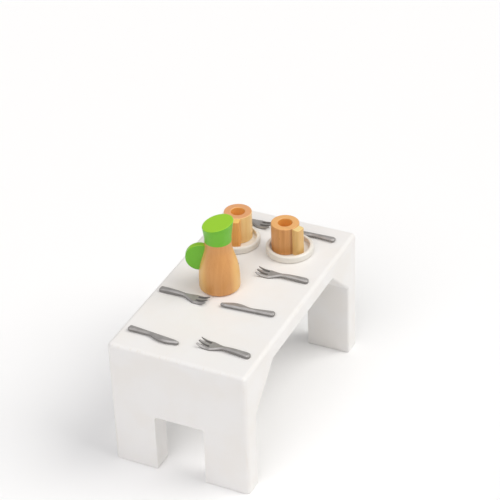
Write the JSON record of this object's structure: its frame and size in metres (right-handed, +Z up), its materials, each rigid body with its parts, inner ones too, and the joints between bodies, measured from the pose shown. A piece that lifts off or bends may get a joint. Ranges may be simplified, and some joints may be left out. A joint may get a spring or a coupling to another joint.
{
  "type": "miniature dining table",
  "caption": "Small dolls' house dining table with end panels notched into feet and corner blocks, laid with loose forks, knives, plates with mugs, and a jug.",
  "frame": {"origin": "on the floor, under the middle of the table", "axes": "+Z up; +Y along the table to the end with the plates; +X across the table"},
  "size_m": [0.075, 0.138, 0.1119],
  "materials": {
    "table_paint": "white satin paint on solid wood",
    "beech": "clear satin lacquer, upright grain",
    "plate_paint": "white semi-gloss paint on wood",
    "green_paint": "spring green satin paint on wood",
    "silver_plastic": "silver-grey satin moulding"
  },
  "bodies": {
    "table": {"tabletop": "table_paint", "near_end_panel": "table_paint", "far_end_panel": "table_paint", "near_corner_block": "table_paint", "far_corner_block": "table_paint", "near_dowels": "beech", "far_dowels": "beech"},
    "plate_1": {"plate_1": "plate_paint"},
    "plate_2": {"plate_2": "plate_paint"},
    "mug_1": {"mug_1_body": "beech", "mug_1_handle": "beech"},
    "mug_2": {"mug_2_body": "beech", "mug_2_handle": "beech"},
    "jug": {"jug_body": "beech", "jug_spout": "green_paint", "jug_handle": "green_paint", "jug_dowel": "beech"},
    "fork_1": {"fork_1": "silver_plastic"},
    "fork_2": {"fork_2": "silver_plastic"},
    "fork_3": {"fork_3": "silver_plastic"},
    "fork_4": {"fork_4": "silver_plastic"},
    "knife_1": {"knife_1": "silver_plastic"},
    "knife_2": {"knife_2": "silver_plastic"},
    "knife_3": {"knife_3": "silver_plastic"},
    "knife_4": {"knife_4": "silver_plastic"}
  },
  "joints": [
    {"name": "jug_lift", "type": "slide", "parent": "table", "child": "jug", "axis": [0, 0, 1], "range_m": [0, 0.05]},
    {"name": "plate_1_lift", "type": "slide", "parent": "table", "child": "plate_1", "axis": [0, 0, 1], "range_m": [0, 0.03]},
    {"name": "mug_1_lift", "type": "slide", "parent": "plate_1", "child": "mug_1", "axis": [0, 0, 1], "range_m": [0, 0.03]},
    {"name": "plate_2_lift", "type": "slide", "parent": "table", "child": "plate_2", "axis": [0, 0, 1], "range_m": [0, 0.03]},
    {"name": "mug_2_lift", "type": "slide", "parent": "plate_2", "child": "mug_2", "axis": [0, 0, 1], "range_m": [0, 0.03]},
    {"name": "knife_1_lift", "type": "slide", "parent": "table", "child": "knife_1", "axis": [0, 0, 1], "range_m": [0, 0.025]},
    {"name": "fork_1_lift", "type": "slide", "parent": "table", "child": "fork_1", "axis": [0, 0, 1], "range_m": [0, 0.025]},
    {"name": "knife_2_lift", "type": "slide", "parent": "table", "child": "knife_2", "axis": [0, 0, 1], "range_m": [0, 0.025]},
    {"name": "fork_2_lift", "type": "slide", "parent": "table", "child": "fork_2", "axis": [0, 0, 1], "range_m": [0, 0.025]},
    {"name": "knife_3_lift", "type": "slide", "parent": "table", "child": "knife_3", "axis": [0, 0, 1], "range_m": [0, 0.025]},
    {"name": "fork_3_lift", "type": "slide", "parent": "table", "child": "fork_3", "axis": [0, 0, 1], "range_m": [0, 0.025]},
    {"name": "knife_4_lift", "type": "slide", "parent": "table", "child": "knife_4", "axis": [0, 0, 1], "range_m": [0, 0.025]},
    {"name": "fork_4_lift", "type": "slide", "parent": "table", "child": "fork_4", "axis": [0, 0, 1], "range_m": [0, 0.025]}
  ]
}
